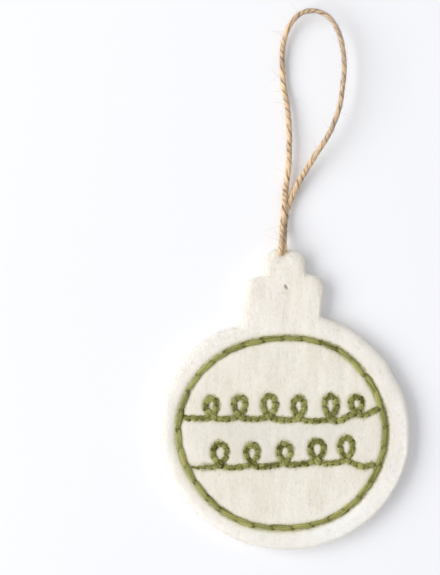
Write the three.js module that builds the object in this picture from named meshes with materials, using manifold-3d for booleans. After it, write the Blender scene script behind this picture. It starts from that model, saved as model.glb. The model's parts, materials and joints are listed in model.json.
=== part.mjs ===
// A flat felt ornament in two layers, stitched on its front and hung from a loop of twine.
// Millimetres. It lies on its back: the back face is at z = 0, the front faces +Z and the loop runs out along +Y.
import * as THREE from "three";
import { mergeVertices } from "three/addons/utils/BufferGeometryUtils.js";
import Module from "manifold-3d";

const wasm = await Module();
wasm.setup();

// Felt outline: a wide disc under a cap of two scalloped steps, the shoulder and the crown. The cap is cut by hand,
// so its sides differ: each has its own distances from the middle and its own step below the top.
const DISC_WIDTH = 90;
const DISC_HEIGHT = 85.6;
const CAP_RISE = 22.4;
const RIGHT_WAIST = 13.1;
const RIGHT_SHOULDER = 14;
const RIGHT_STEP = 9;
const RIGHT_LOBE = 4.6;
const LEFT_WAIST = 15.8;
const LEFT_SHOULDER = 14.7;
const LEFT_STEP = 9.9;
const LEFT_LOBE = 5.4;
const CROWN_WIDTH = 14.8;
const CROWN_LOBE = 4.9;
const CROWN_DENT = 0.6;

// Felt layers
const LAYER_THICKNESS = 2.6;
const EDGE_ROUND = 1.0;

// Stitching
const THREAD_RADIUS = 0.55;
const THREAD_SIDES = 5;
const RING_INSET_X = 7.6;
const RING_INSET_Y = 8.2;
const RING_SHIFT_X = -1;
const RING_SHIFT_Y = -0.6;
const STITCH_PITCH = 6.8;
const STITCH_OVERLAP = 1.7;
const STITCH_SIDE_STEP = 0.85;
const CURL_STITCH = 3.1;
const CURL_HUMP = 0.4;
const KNOT_RADIUS = 0.8;
const FACE_GROOVE = 0.65;
const HIDDEN_GROOVE_DOWN = 1.3;
const HIDDEN_GROOVE_UP = 0.85;
const HOLE_SIDES = 5;

// Each curl: the place of its crossing, in half widths and half heights of the ring, then its half width and height
const UPPER_CURLS = [
  [-0.682, 0.149, 2.1, 7.5],
  [-0.41, 0.152, 2.25, 7.8],
  [-0.124, 0.149, 2.35, 8.4],
  [0.16, 0.134, 2.1, 8.2],
  [0.467, 0.126, 2.25, 9.1],
  [0.716, 0.183, 2.3, 6.8],
];
const UPPER_START = [-0.932, 0.157];
const UPPER_END = [0.918, 0.246];
const LOWER_CURLS = [
  [-0.599, -0.356, 2.6, 8.5],
  [-0.29, -0.347, 2.3, 7.8],
  [0.024, -0.33, 2.3, 7.6],
  [0.335, -0.311, 2.6, 8],
  [0.618, -0.306, 2.35, 9],
];
const LOWER_START = [-0.87, -0.363];
const LOWER_END = [0.886, -0.321];

// One curl, in half widths and heights from its crossing: in from the left, round anticlockwise and out to the right
const CURL_FORM = [
  [-0.95, 0],
  [-0.35, 0.05],
  [0.5, 0.25],
  [0.98, 0.58],
  [0.7, 0.9],
  [0, 1],
  [-0.7, 0.9],
  [-0.98, 0.58],
  [-0.5, 0.25],
  [0.35, 0.03],
  [1, -0.03],
];

// Twine
const TWINE_RADIUS = 0.88;
const TWINE_SIDES = 8;
const TWINE_STEPS = 62;
const LEG_SPACING = 2.2;
const HINGE_X = -0.86;
const HINGE_BELOW_TOP = 2.1;
const NEEDLE_HOLE_X = 0.4;
const NEEDLE_HOLE_BELOW_HINGE = 11.2;
const NEEDLE_HOLE_WIDTH = 1.3;
const TAIL_PAST_HOLE = 1.3;

// Gaps
const CLEARANCE = 0.3;
const REST_GAP = 0.35;

const THICKNESS = 2 * LAYER_THICKNESS;
const MIDDLE_Z = LAYER_THICKNESS;
const OVERALL_HEIGHT = DISC_HEIGHT + CAP_RISE;
const TOP_Y = OVERALL_HEIGHT / 2;
const DISC_Y = DISC_HEIGHT / 2 - TOP_Y;
const RING_WIDTH = DISC_WIDTH - 2 * RING_INSET_X;
const RING_HEIGHT = DISC_HEIGHT - 2 * RING_INSET_Y;
const RING_CENTRE_X = RING_SHIFT_X;
const RING_CENTRE_Y = DISC_Y + RING_SHIFT_Y;
const HINGE_Y = TOP_Y - HINGE_BELOW_TOP;
const HINGE_Z = THICKNESS + TWINE_RADIUS + CLEARANCE;
const REST_Z = TWINE_RADIUS + 0.1;
const NEEDLE_HOLE_Y = HINGE_Y - NEEDLE_HOLE_BELOW_HINGE;
const TAIL_END_Y = NEEDLE_HOLE_Y - TAIL_PAST_HOLE;
const CROSSING_LIFT = 2 * THREAD_RADIUS + 0.4;

// Course of the free twine from its left end, over the top and back to its right end: to the side of the hinge,
// out from it, and the share of the hinge's height above where the twine lies on the table.
// In the neck the left leg lies on the right one.
const LOOP_POINTS = [
  [-LEG_SPACING / 2, 0, 1],
  [-1.1, 1.5, 1.03],
  [-0.92, 3, 1.04],
  [-0.55, 4.6, 1.0],
  [-0.32, 7, 0.88],
  [-0.1, 10, 0.74],
  [0.26, 14.1, 0.62],
  [0.66, 19.1, 0.54],
  [1.16, 25.1, 0.46],
  [1.96, 31.1, 0.38],
  [2.16, 40.1, 0.34],
  [2.06, 47.1, 0.28],
  [1.46, 54.1, 0.19],
  [0.26, 60.7, 0.09],
  [-0.34, 67.1, 0.06],
  [-0.34, 74.1, 0.13],
  [1.16, 80, 0.23],
  [3.76, 84.7, 0.33],
  [6.86, 87.3, 0.43],
  [10.46, 88.1, 0.53],
  [14.26, 87.2, 0.63],
  [17.46, 84.6, 0.73],
  [20.06, 79.6, 0.82],
  [21.56, 74.1, 0.87],
  [22.06, 67.5, 0.9],
  [21.46, 61.1, 0.9],
  [20.26, 53.1, 0.82],
  [16.46, 44.3, 0.65],
  [11.46, 35.7, 0.43],
  [6.26, 27.4, 0.26],
  [3.66, 22.1, 0.19],
  [1.46, 16.7, 0.17],
  [0.5, 12, 0.2],
  [0.35, 9, 0.28],
  [0.35, 6.2, 0.45],
  [0.5, 4.4, 0.62],
  [0.92, 3, 0.82],
  [1.1, 1.5, 0.97],
  [LEG_SPACING / 2, 0, 1],
];

const feltMaterial = new THREE.MeshStandardMaterial({ color: 0xf0ece2, roughness: 1 });
const threadMaterial = new THREE.MeshStandardMaterial({ color: 0x82823f, roughness: 0.8 });
const twineMaterial = new THREE.MeshStandardMaterial({ color: 0xbe9664, roughness: 0.95 });

// A curve through given stations, which an extrusion visits one by one.
class StationCurve extends THREE.Curve {
  constructor(stations) {
    super();
    this.stations = stations;
  }

  getUtoTmapping(u) {
    return u;
  }

  getPoint(t, target = new THREE.Vector3()) {
    const last = this.stations.length - 1;
    const place = THREE.MathUtils.clamp(t, 0, 1) * last;
    const i = Math.min(Math.floor(place), last - 1);
    return target.lerpVectors(this.stations[i], this.stations[i + 1], place - i);
  }
}

function solidOf(geometry) {
  const bare = geometry.index ? geometry.toNonIndexed() : geometry.clone();
  for (const name of Object.keys(bare.attributes)) {
    if (name !== "position") {
      bare.deleteAttribute(name);
    }
  }
  const merged = mergeVertices(bare, 1e-4);
  const mesh = new wasm.Mesh({
    numProp: 3,
    vertProperties: new Float32Array(merged.attributes.position.array),
    triVerts: new Uint32Array(merged.index.array),
  });
  return new wasm.Manifold(mesh);
}

function geometryOf(solid) {
  const mesh = solid.getMesh();
  const geometry = new THREE.BufferGeometry();
  geometry.setAttribute("position", new THREE.BufferAttribute(new Float32Array(mesh.vertProperties), 3));
  geometry.setIndex(new THREE.BufferAttribute(new Uint32Array(mesh.triVerts), 1));
  geometry.computeVertexNormals();
  return geometry;
}

function ringShape(radius, sides) {
  const points = [];
  for (let i = 0; i < sides; i += 1) {
    const angle = (2 * Math.PI * i) / sides;
    points.push(new THREE.Vector2(radius * Math.cos(angle), radius * Math.sin(angle)));
  }
  return new THREE.Shape(points);
}

function tubeSolid(stations, radius, sides) {
  const geometry = new THREE.ExtrudeGeometry(ringShape(radius, sides), {
    steps: stations.length - 1,
    bevelEnabled: false,
    extrudePath: new StationCurve(stations),
  });
  return solidOf(geometry);
}

function ballSolid(centre, radius) {
  const geometry = new THREE.SphereGeometry(radius, 8, 6);
  geometry.translate(centre.x, centre.y, centre.z);
  return solidOf(geometry);
}

// One half of the felt outline as if on the right, from the bottom of the disc up to the middle of the crown.
function halfOutline(waistX, shoulderX, step, lobe) {
  const waistAngle = Math.acos(waistX / (DISC_WIDTH / 2));
  const waistY = DISC_Y + (DISC_HEIGHT / 2) * Math.sin(waistAngle);
  const shoulderY = TOP_Y - step;
  const side = shoulderY - waistY;
  const lean = shoulderX - waistX;
  const crownX = CROWN_WIDTH / 2;
  const disc = new THREE.EllipseCurve(
    0, DISC_Y, DISC_WIDTH / 2, DISC_HEIGHT / 2, -Math.PI / 2, waistAngle, false, 0,
  );
  const path = new THREE.Path();
  path.moveTo(waistX, waistY);
  path.quadraticCurveTo(waistX - 0.2, waistY + 0.1 * side, waistX + 0.35 * lean, waistY + 0.35 * side);
  path.lineTo(shoulderX, shoulderY - lobe);
  path.absarc(shoulderX - lobe, shoulderY - lobe, lobe, 0, Math.PI / 2, false);
  path.quadraticCurveTo(crownX, shoulderY, crownX - 0.1, shoulderY + 0.25 * step);
  path.lineTo(crownX, TOP_Y - CROWN_LOBE);
  path.absarc(crownX - CROWN_LOBE, TOP_Y - CROWN_LOBE, CROWN_LOBE, 0, Math.PI / 2, false);
  path.quadraticCurveTo((crownX - CROWN_LOBE) / 2, TOP_Y, 0, TOP_Y - CROWN_DENT);
  return [...disc.getPoints(24), ...path.getPoints(4).slice(1)];
}

function feltOutline() {
  const right = halfOutline(RIGHT_WAIST, RIGHT_SHOULDER, RIGHT_STEP, RIGHT_LOBE);
  const left = halfOutline(LEFT_WAIST, LEFT_SHOULDER, LEFT_STEP, LEFT_LOBE);
  const mirrored = left.slice(1, -1).reverse().map((p) => new THREE.Vector2(-p.x, p.y));
  return new THREE.Shape([...right, ...mirrored]);
}

// Both layers as one rounded slab, which is then parted at the middle.
function feltSlab() {
  const geometry = new THREE.ExtrudeGeometry(feltOutline(), {
    depth: THICKNESS - 2 * EDGE_ROUND,
    bevelEnabled: true,
    bevelThickness: EDGE_ROUND,
    bevelSize: EDGE_ROUND,
    bevelOffset: -EDGE_ROUND,
    bevelSegments: 2,
    curveSegments: 1,
  });
  geometry.translate(0, 0, EDGE_ROUND);
  return solidOf(geometry);
}

function blockSolid(z) {
  const geometry = new THREE.BoxGeometry(2 * DISC_WIDTH, 2 * OVERALL_HEIGHT, LAYER_THICKNESS + 2);
  geometry.translate(0, 0, z);
  return solidOf(geometry);
}

function smooth(t) {
  return t * t * (3 - 2 * t);
}

function ringGuide() {
  const guide = new THREE.EllipseCurve(
    RING_CENTRE_X, RING_CENTRE_Y, RING_WIDTH / 2, RING_HEIGHT / 2, 0, 2 * Math.PI, false, 0,
  );
  guide.arcLengthDivisions = 720;
  return guide;
}

function ringStitches() {
  return Math.round(ringGuide().getLength() / STITCH_PITCH);
}

// A point beside the ring's line: so far along it, so far to its outer side, at a height.
function besideRing(guide, distance, side, z) {
  const u = THREE.MathUtils.euclideanModulo(distance / guide.getLength(), 1);
  const p = guide.getPointAt(u);
  const t = guide.getTangentAt(u);
  return new THREE.Vector3(p.x + t.y * side, p.y - t.x * side, z);
}

// Where each stitch of the ring comes up, on the inner side, and where it goes down, on the outer side.
function ringNeedlePoints() {
  const guide = ringGuide();
  const count = ringStitches();
  const pitch = guide.getLength() / count;
  const points = [];
  for (let i = 0; i < count; i += 1) {
    points.push(besideRing(guide, i * pitch, -STITCH_SIDE_STEP, 0));
    points.push(besideRing(guide, (i + 1) * pitch + STITCH_OVERLAP, STITCH_SIDE_STEP, 0));
  }
  return points;
}

// Course of the ring's thread. Each stitch comes up on the inner side, runs forward over the face, goes down on the
// outer side a little past the start of the next one, and turns back between the layers.
function ringStations() {
  const guide = ringGuide();
  const count = ringStitches();
  const pitch = guide.getLength() / count;
  const stitch = pitch + STITCH_OVERLAP;
  const low = MIDDLE_Z + 0.2;
  const inFelt = THICKNESS - FACE_GROOVE - 0.1;
  const stations = [];
  stations.push(besideRing(guide, -3.4, -0.5, MIDDLE_Z - 0.2));
  stations.push(besideRing(guide, -1.2, -STITCH_SIDE_STEP, MIDDLE_Z - 0.2));
  for (let i = 0; i < count; i += 1) {
    const start = i * pitch;
    const over = (share, z) =>
      besideRing(guide, start + share * stitch, STITCH_SIDE_STEP * (2 * smooth(share) - 1), z);
    stations.push(over(0, low));
    stations.push(over(0.005, inFelt));
    stations.push(over(0.11, THICKNESS + 0.2));
    stations.push(over(0.5, THICKNESS + 0.5));
    stations.push(over(0.89, THICKNESS + 0.2));
    stations.push(over(0.995, inFelt));
    stations.push(over(1, low));
    if (i < count - 1) {
      stations.push(besideRing(guide, start + pitch + STITCH_OVERLAP / 2, 0, MIDDLE_Z - 0.3));
    }
  }
  const end = (count - 1) * pitch + stitch;
  stations.push(besideRing(guide, end + 1.2, STITCH_SIDE_STEP, MIDDLE_Z - 0.2));
  stations.push(besideRing(guide, end + 3.4, 0.5, MIDDLE_Z - 0.2));
  return stations;
}

// A band of felt along the ring's line, as wide as the stitches need.
function ringBand(bottom, top) {
  const half = STITCH_SIDE_STEP + THREAD_RADIUS + CLEARANCE;
  const edge = (offset) => {
    const curve = new THREE.EllipseCurve(
      RING_CENTRE_X, RING_CENTRE_Y, RING_WIDTH / 2 + offset, RING_HEIGHT / 2 + offset, 0, 2 * Math.PI, false, 0,
    );
    return curve.getPoints(60).slice(0, -1);
  };
  const shape = new THREE.Shape(edge(half));
  shape.holes.push(new THREE.Path(edge(-half)));
  const geometry = new THREE.ExtrudeGeometry(shape, { depth: top - bottom, bevelEnabled: false, curveSegments: 1 });
  geometry.translate(0, 0, bottom);
  return solidOf(geometry);
}

function ringHole(point) {
  const radius = (THREAD_RADIUS + CLEARANCE) / Math.cos(Math.PI / HOLE_SIDES);
  const geometry = new THREE.CylinderGeometry(radius, radius, LAYER_THICKNESS, HOLE_SIDES);
  geometry.rotateX(Math.PI / 2);
  geometry.translate(point.x, point.y, MIDDLE_Z + LAYER_THICKNESS / 2 + 0.1);
  return solidOf(geometry);
}

// Plan of a row of curls, and where along it each loop closes over its own beginning.
function curlGuide(curls, start, end) {
  const inRing = (x, y) =>
    new THREE.Vector3(RING_CENTRE_X + (x * RING_WIDTH) / 2, RING_CENTRE_Y + (y * RING_HEIGHT) / 2, 0);
  const points = [inRing(start[0], start[1])];
  for (const [x, y, halfWidth, height] of curls) {
    const crossing = inRing(x, y);
    for (const [across, up] of CURL_FORM) {
      points.push(new THREE.Vector3(crossing.x + across * halfWidth, crossing.y + up * height, 0));
    }
  }
  points.push(inRing(end[0], end[1]));
  return new THREE.CatmullRomCurve3(points, false, "centripetal");
}

// Course of a row of curls: up through the felt, along the face in humps, over itself at each crossing, down again.
function curlStations(curls, start, end) {
  const guide = curlGuide(curls, start, end);
  guide.arcLengthDivisions = 1600;
  const count = 2 * Math.round(guide.getLength() / CURL_STITCH);
  const onFace = THICKNESS + THREAD_RADIUS + REST_GAP;
  const low = MIDDLE_Z + 0.2;
  const inFelt = MIDDLE_Z + 0.6 * LAYER_THICKNESS;
  const plan = guide.getSpacedPoints(count);
  const first = plan[0];
  const last = plan[count];
  const stations = [];
  stations.push(new THREE.Vector3(first.x + 3, first.y - 0.6, MIDDLE_Z));
  stations.push(new THREE.Vector3(first.x + 1, first.y - 0.2, MIDDLE_Z));
  stations.push(new THREE.Vector3(first.x, first.y, low));
  stations.push(new THREE.Vector3(first.x, first.y, inFelt));
  stations.push(new THREE.Vector3(first.x + 0.3, first.y, THICKNESS + 0.5));
  const leaving = CURL_FORM.length / 2;
  const knotsInRow = curls.length * CURL_FORM.length + 1;
  for (let i = 1; i < count; i += 1) {
    const knot = guide.getUtoTmapping(i / count) * knotsInRow - 1;
    const inCurl = THREE.MathUtils.euclideanModulo(knot, CURL_FORM.length);
    const nearCrossing = plan.some((p, j) => Math.abs(i - j) > 3 && p.distanceTo(plan[i]) < 2.4);
    const hump = nearCrossing ? 0 : CURL_HUMP * (i % 2);
    const lift = nearCrossing && inCurl > leaving ? CROSSING_LIFT : 0;
    stations.push(new THREE.Vector3(plan[i].x, plan[i].y, onFace + hump + lift));
  }
  stations.push(new THREE.Vector3(last.x - 0.3, last.y, THICKNESS + 0.5));
  stations.push(new THREE.Vector3(last.x, last.y, inFelt));
  stations.push(new THREE.Vector3(last.x, last.y, low));
  stations.push(new THREE.Vector3(last.x - 1, last.y - 0.2, MIDDLE_Z));
  stations.push(new THREE.Vector3(last.x - 3, last.y - 0.6, MIDDLE_Z));
  return stations;
}

// A thread with a knot at each end.
function threadSolid(stations) {
  const tube = tubeSolid(stations, THREAD_RADIUS, THREAD_SIDES);
  const first = ballSolid(stations[0], KNOT_RADIUS);
  const last = ballSolid(stations[stations.length - 1], KNOT_RADIUS);
  return tube.add(first).add(last);
}

// One end of the twine, from under the loop's end down through the front layer and along between the layers.
function tailStations(side) {
  const x = HINGE_X + (side * LEG_SPACING) / 2;
  const inner = side * (TWINE_RADIUS + CLEARANCE / 2);
  const reach = TWINE_RADIUS + REST_GAP;
  const curve = new THREE.CatmullRomCurve3([
    new THREE.Vector3(x, HINGE_Y - 0.55 * reach, HINGE_Z - 0.85 * reach),
    new THREE.Vector3(x, HINGE_Y - 1.7, MIDDLE_Z + 1.6),
    new THREE.Vector3(x + 0.1, HINGE_Y - 3.6, MIDDLE_Z + 0.35),
    new THREE.Vector3(NEEDLE_HOLE_X - 0.6 + inner, HINGE_Y - 6.5, MIDDLE_Z),
    new THREE.Vector3(NEEDLE_HOLE_X + inner, TAIL_END_Y, MIDDLE_Z),
  ]);
  return curve.getSpacedPoints(9);
}

function needleHole() {
  const geometry = new THREE.CylinderGeometry(
    NEEDLE_HOLE_WIDTH / 2, NEEDLE_HOLE_WIDTH / 2, LAYER_THICKNESS + 1, 12,
  );
  geometry.rotateX(Math.PI / 2);
  geometry.translate(NEEDLE_HOLE_X, NEEDLE_HOLE_Y, MIDDLE_Z + LAYER_THICKNESS / 2 + 0.4);
  return solidOf(geometry);
}

const ring = ringStations();
const upper = curlStations(UPPER_CURLS, UPPER_START, UPPER_END);
const lower = curlStations(LOWER_CURLS, LOWER_START, LOWER_END);
const leftTail = tailStations(-1);
const rightTail = tailStations(1);
const loopCurve = new THREE.CatmullRomCurve3(
  LOOP_POINTS.map(([x, y, share]) =>
    new THREE.Vector3(HINGE_X + x, HINGE_Y + y, REST_Z + share * (HINGE_Z - REST_Z))),
  false,
  "centripetal",
);

// Room for one end of a curl thread: its knot, its run between the layers and its way up through the felt.
function endRoom(stations) {
  const tube = tubeSolid(stations, (THREAD_RADIUS + CLEARANCE) / Math.cos(Math.PI / HOLE_SIDES), HOLE_SIDES);
  return tube.add(ballSolid(stations[0], KNOT_RADIUS + CLEARANCE));
}

const rooms = [
  ringBand(MIDDLE_Z - HIDDEN_GROOVE_DOWN, MIDDLE_Z + HIDDEN_GROOVE_UP),
  ringBand(THICKNESS - FACE_GROOVE, THICKNESS + 1),
  ...ringNeedlePoints().map(ringHole),
  endRoom(upper.slice(0, 5)),
  endRoom(upper.slice(-5).reverse()),
  endRoom(lower.slice(0, 5)),
  endRoom(lower.slice(-5).reverse()),
  tubeSolid(leftTail, TWINE_RADIUS + CLEARANCE, TWINE_SIDES),
  tubeSolid(rightTail, TWINE_RADIUS + CLEARANCE, TWINE_SIDES),
];
const slab = feltSlab();
let front = slab.intersect(blockSolid(MIDDLE_Z + LAYER_THICKNESS / 2 + 1));
let back = slab.intersect(blockSolid(MIDDLE_Z - LAYER_THICKNESS / 2 - 1));
for (const room of rooms) {
  front = front.subtract(room);
  back = back.subtract(room);
}
front = front.subtract(needleHole());

const pieces = [
  ["front_felt", front, feltMaterial],
  ["back_felt", back, feltMaterial],
  ["outline_thread", threadSolid(ring), threadMaterial],
  ["upper_curl_thread", threadSolid(upper), threadMaterial],
  ["lower_curl_thread", threadSolid(lower), threadMaterial],
  ["twine_tail_left", tubeSolid(leftTail, TWINE_RADIUS, TWINE_SIDES), twineMaterial],
  ["twine_tail_right", tubeSolid(rightTail, TWINE_RADIUS, TWINE_SIDES), twineMaterial],
  ["hanging_loop", tubeSolid(loopCurve.getSpacedPoints(TWINE_STEPS), TWINE_RADIUS, TWINE_SIDES), twineMaterial],
];

const ornament = new THREE.Group();
ornament.name = "felt_ornament";
for (const [name, solid, material] of pieces) {
  const mesh = new THREE.Mesh(geometryOf(solid), material);
  mesh.name = name;
  ornament.add(mesh);
}

export default ornament;
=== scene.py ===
"""Looks of a flat felt bauble with stitched curls, which hangs from a loop of twine.

Surfaces are worked out as whole arrays in millimetres, in the frame of the solids, and written in metres.
"""
import json

import bpy
import numpy as np
from bpy.props import FloatProperty, FloatVectorProperty, IntProperty, PointerProperty
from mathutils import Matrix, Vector


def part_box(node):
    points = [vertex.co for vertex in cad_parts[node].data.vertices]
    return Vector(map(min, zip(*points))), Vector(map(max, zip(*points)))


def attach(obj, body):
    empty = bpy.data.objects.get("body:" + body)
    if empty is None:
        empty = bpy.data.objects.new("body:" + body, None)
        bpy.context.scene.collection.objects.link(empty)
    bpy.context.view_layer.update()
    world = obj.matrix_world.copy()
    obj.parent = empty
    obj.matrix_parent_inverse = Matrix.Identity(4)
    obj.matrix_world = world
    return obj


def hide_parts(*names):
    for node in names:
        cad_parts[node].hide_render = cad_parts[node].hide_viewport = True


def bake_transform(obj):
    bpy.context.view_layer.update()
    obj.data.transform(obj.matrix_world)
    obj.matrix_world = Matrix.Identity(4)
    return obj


bl_info = {
    "name": "Felt Ornament",
    "version": (1, 0, 0),
    "blender": (4, 5, 0),
    "location": "View3D > Sidebar > Ornament",
    "description": "Builds a stitched felt bauble on a loop of twine",
    "category": "Add Mesh",
}

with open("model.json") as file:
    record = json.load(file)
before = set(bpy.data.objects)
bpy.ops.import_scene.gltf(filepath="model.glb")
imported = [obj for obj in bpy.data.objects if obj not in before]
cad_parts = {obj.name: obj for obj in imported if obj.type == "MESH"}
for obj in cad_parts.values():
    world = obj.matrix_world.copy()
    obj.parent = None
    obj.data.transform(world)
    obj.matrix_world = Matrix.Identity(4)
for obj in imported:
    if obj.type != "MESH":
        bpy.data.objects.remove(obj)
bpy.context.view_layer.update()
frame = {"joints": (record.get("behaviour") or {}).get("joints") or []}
MM = 0.001
UP = np.array([0.0, 0.0, 1.0])

# A distance past the reach of everything that fades, and a length too small to divide by
FAR = 50.0
TINY = 1e-12

# Places taken from the solids
FRONT_LOW, FRONT_HIGH = (np.array(corner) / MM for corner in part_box("front_felt"))
BACK_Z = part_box("back_felt")[0].z / MM
SEAM_Z = FRONT_LOW[2]
FACE_Z = FRONT_HIGH[2]
TOP_Y = FRONT_HIGH[1]
HALF_WIDTH = FRONT_HIGH[0]
HINGE = np.array(frame["joints"][0]["pos_m"]) / MM

# Felt outline: a wide disc under a cap of two scalloped steps, cut by hand, so its sides differ.
# Each side of the cap: its waist and its shoulder from the middle, the shoulder's step below the top,
# the radius of the shoulder's lobe, and how far the disc's edge is cut down at the waist.
CAP_RISE = 22.4
RIGHT_SIDE = (13.1, 14.0, 9.0, 4.6, 0.0)
LEFT_SIDE = (15.8, 14.7, 9.9, 5.4, 2.5)
CUT_REACH = 9.0
NECK_IN = 0.2
NECK_BEND_SHARE = 0.1
NECK_END_SHARE = 0.35
NOTCH_IN = 0.1
NOTCH_SHARE = 0.25
CROWN_WIDTH = 14.8
CROWN_LOBE = 4.9
CROWN_DENT = 0.6
CORNER_SOFTNESS = 6.0
CUT_WAVES = np.arange(7, 32)
DISC_HALF_HEIGHT = (FRONT_HIGH[1] - FRONT_LOW[1] - CAP_RISE) / 2
DISC_Y = FRONT_LOW[1] + DISC_HALF_HEIGHT
FELT_POLE = np.array([0.0, 12.0])

# The disc's tilt in radians, and the heights over its middle between which the tilt sets in
DISC_TILT = -0.2
TILT_FADE = (36.0, 24.0)

# Felt edge: the rim rounds off more on the left by the lean, and more again at the upper right by the gain.
# The back's rim is a share of the front's, and a gap keeps each layer from the seam.
RIM_LEAN = 0.55
RIM_GAIN = 1.3
RIM_GAIN_START = 0.25
BACK_RIM_SHARE = 0.6
SEAM_GAP = 0.02

# Rows of a layer: on its face and its underside in shares of the way from pole to edge, closer by the edge,
# and on its wall by how far in they are drawn and what share of the way down they are. Then its columns, and
# how many points have their distances worked out at a time.
NEAR_EDGE = np.array([0.0, 0.0012, 0.0035, 0.007, 0.0115, 0.017, 0.024, 0.032, 0.041, 0.05])
FACE_ROWS = np.concatenate([1 - NEAR_EDGE, np.linspace(0.94, 0.008, 104)])[::-1]
UNDER_ROWS = np.linspace(0.94, 0.05, 14)
WALL_INSETS = np.array([0.015, 0.05, 0.14, 0.3, 0.6])
WALL_DROPS = np.array([0.66, 0.8, 0.92, 0.985, 1.0])
FRONT_COLUMNS = 640
BACK_COLUMNS = 480
BLOCK = 2500

# Felt faces: swells fade out at the edge, the back's are flatter and drawn in, and the left edge slumps
SWELL_WAVES = 28
FRONT_SWELL = 14.0
BACK_SWELL = 16.0
BACK_SWELL_SHARE = 0.4
BACK_SWELL_IN = 2.5
SWELL_EDGE = 3.0
SLUMP = 0.5
SLUMP_REACH = 4.5
SLUMP_FADE = 8.0

# Stitching: the ring is an ellipse inside the disc, and curls are placed in its half widths and heights.
# The ring strays from its ellipse in waves, each with its number in a turn, its size and its phase, and its
# line goes on past a turn at both ends by the lap, a share of a turn. A stitch of a curl can cross those that
# are a few stitches back, which lift it, and the first stitches of a row may be thin.
RING_INSET = np.array([7.6, 8.2])
RING_CENTRE = np.array([-1.0, DISC_Y - 0.6])
RING_HALF = np.array([HALF_WIDTH, DISC_HALF_HEIGHT]) - RING_INSET
RING_WAVES = ((3, 0.27, 2.5), (6, 0.19, 0.3), (4, 0.18, -2.2))
RING_LAP = 0.1
RING_STITCH = 6.8
RING_OVERLAP = 2.3
RING_LIFT = 0.04
RING_FUZZ_SHARE = 0.9
CURL_STITCH = 2.4
CURL_OVERLAP = 0.7
CURL_LIFT = -0.04
CROSSING_LIFT = 0.45
CROSSING_REACH = 1.7
CROSSING_BACK = 3
THIN_START = (0.45, 0.75)

# How stitches lie: how far they slant to each side of their line, and the share of its bend that they follow.
# How they are shaded: their tone, what a strand gains at its crest and what it loses where it goes in. The
# crest term is a painted highlight on the ring's top strands and a darker middle on the curls, and the loss
# where a strand goes in is painted shade.
RING_LAY = (0.42, 0.12)
RING_SHADING = (0.64, 0.4, 1.6)
CURL_LAY = (0.48, 0.4)
CURL_SHADING = (0.62, -0.6, 1.7)
FUZZ_SHADE = 0.95

# Floss: the size and spread of strands in half widths of a stitch, their turn along it, how far a stitch
# strays and dives, and how much the tones of strands and of stitches differ
STRAND_RADIUS = 0.34
STRAND_SPREAD = 0.7
STRAND_RISE = 0.27
STRAND_TURN = 1.5
STITCH_STRAY = 0.13
STITCH_DIVE = 0.9
STRAND_TONES = 0.13
STITCH_TONES = 0.15

# Each curl: the place of its crossing in the ring, then its half width and its height
UPPER_CURLS = [
    (-0.682, 0.149, 2.1, 7.5),
    (-0.41, 0.152, 2.25, 7.8),
    (-0.124, 0.149, 2.35, 8.4),
    (0.16, 0.134, 2.1, 8.2),
    (0.467, 0.126, 2.25, 9.1),
    (0.716, 0.183, 2.3, 6.8),
]
UPPER_ENDS = ((-0.955, 0.157), (0.936, 0.256))
LOWER_CURLS = [
    (-0.599, -0.356, 2.6, 8.5),
    (-0.29, -0.347, 2.3, 7.8),
    (0.024, -0.33, 2.3, 7.6),
    (0.335, -0.311, 2.6, 8),
    (0.618, -0.306, 2.35, 9),
]
LOWER_ENDS = ((-0.878, -0.363), (0.785, -0.36), (0.89, -0.321))

# One curl, in half widths and heights from its crossing: it comes in from the left, goes round
# anticlockwise and leaves to the right
CURL_FORM = np.array([
    (-0.95, 0),
    (-0.35, 0.05),
    (0.5, 0.25),
    (0.98, 0.58),
    (0.7, 0.9),
    (0, 1),
    (-0.7, 0.9),
    (-0.98, 0.58),
    (-0.5, 0.25),
    (0.35, 0.03),
    (1, -0.03),
])

# Twine: how far each point is to the side of the hinge and out from it, and its height, where 1 is that of
# the hinge and 0 that of twine on the table
LEG_SPACING = 2.2
REST_Z = 0.98
LOOP_POINTS = np.array([
    (-LEG_SPACING / 2, 0, 1),
    (-1.1, 1.5, 1.03),
    (-0.92, 3, 1.04),
    (-0.55, 4.6, 1.0),
    (-0.28, 7, 0.88),
    (0.0, 10, 0.74),
    (0.42, 14.1, 0.62),
    (0.84, 19.1, 0.54),
    (1.3, 25.1, 0.46),
    (2.14, 31.1, 0.38),
    (2.5, 40.1, 0.34),
    (2.38, 47.1, 0.28),
    (1.78, 54.1, 0.19),
    (0.66, 60.7, 0.09),
    (0.08, 67.1, 0.06),
    (0.0, 74.1, 0.13),
    (1.22, 80, 0.23),
    (3.7, 84.75, 0.33),
    (6.7, 87.5, 0.43),
    (10.42, 88.3, 0.53),
    (14.3, 87.4, 0.63),
    (17.56, 84.7, 0.73),
    (20.2, 79.7, 0.82),
    (21.56, 74.1, 0.87),
    (22.06, 67.5, 0.9),
    (21.46, 61.1, 0.9),
    (20.26, 53.1, 0.82),
    (16.8, 44.15, 0.65),
    (11.46, 35.7, 0.43),
    (6.36, 27.3, 0.26),
    (3.66, 22.1, 0.19),
    (1.7, 16.7, 0.17),
    (0.95, 12, 0.2),
    (0.8, 9, 0.28),
    (0.72, 6.2, 0.45),
    (0.75, 4.4, 0.62),
    (0.92, 3, 0.82),
    (1.1, 1.5, 0.97),
    (LEG_SPACING / 2, 0, 1),
])

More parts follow.
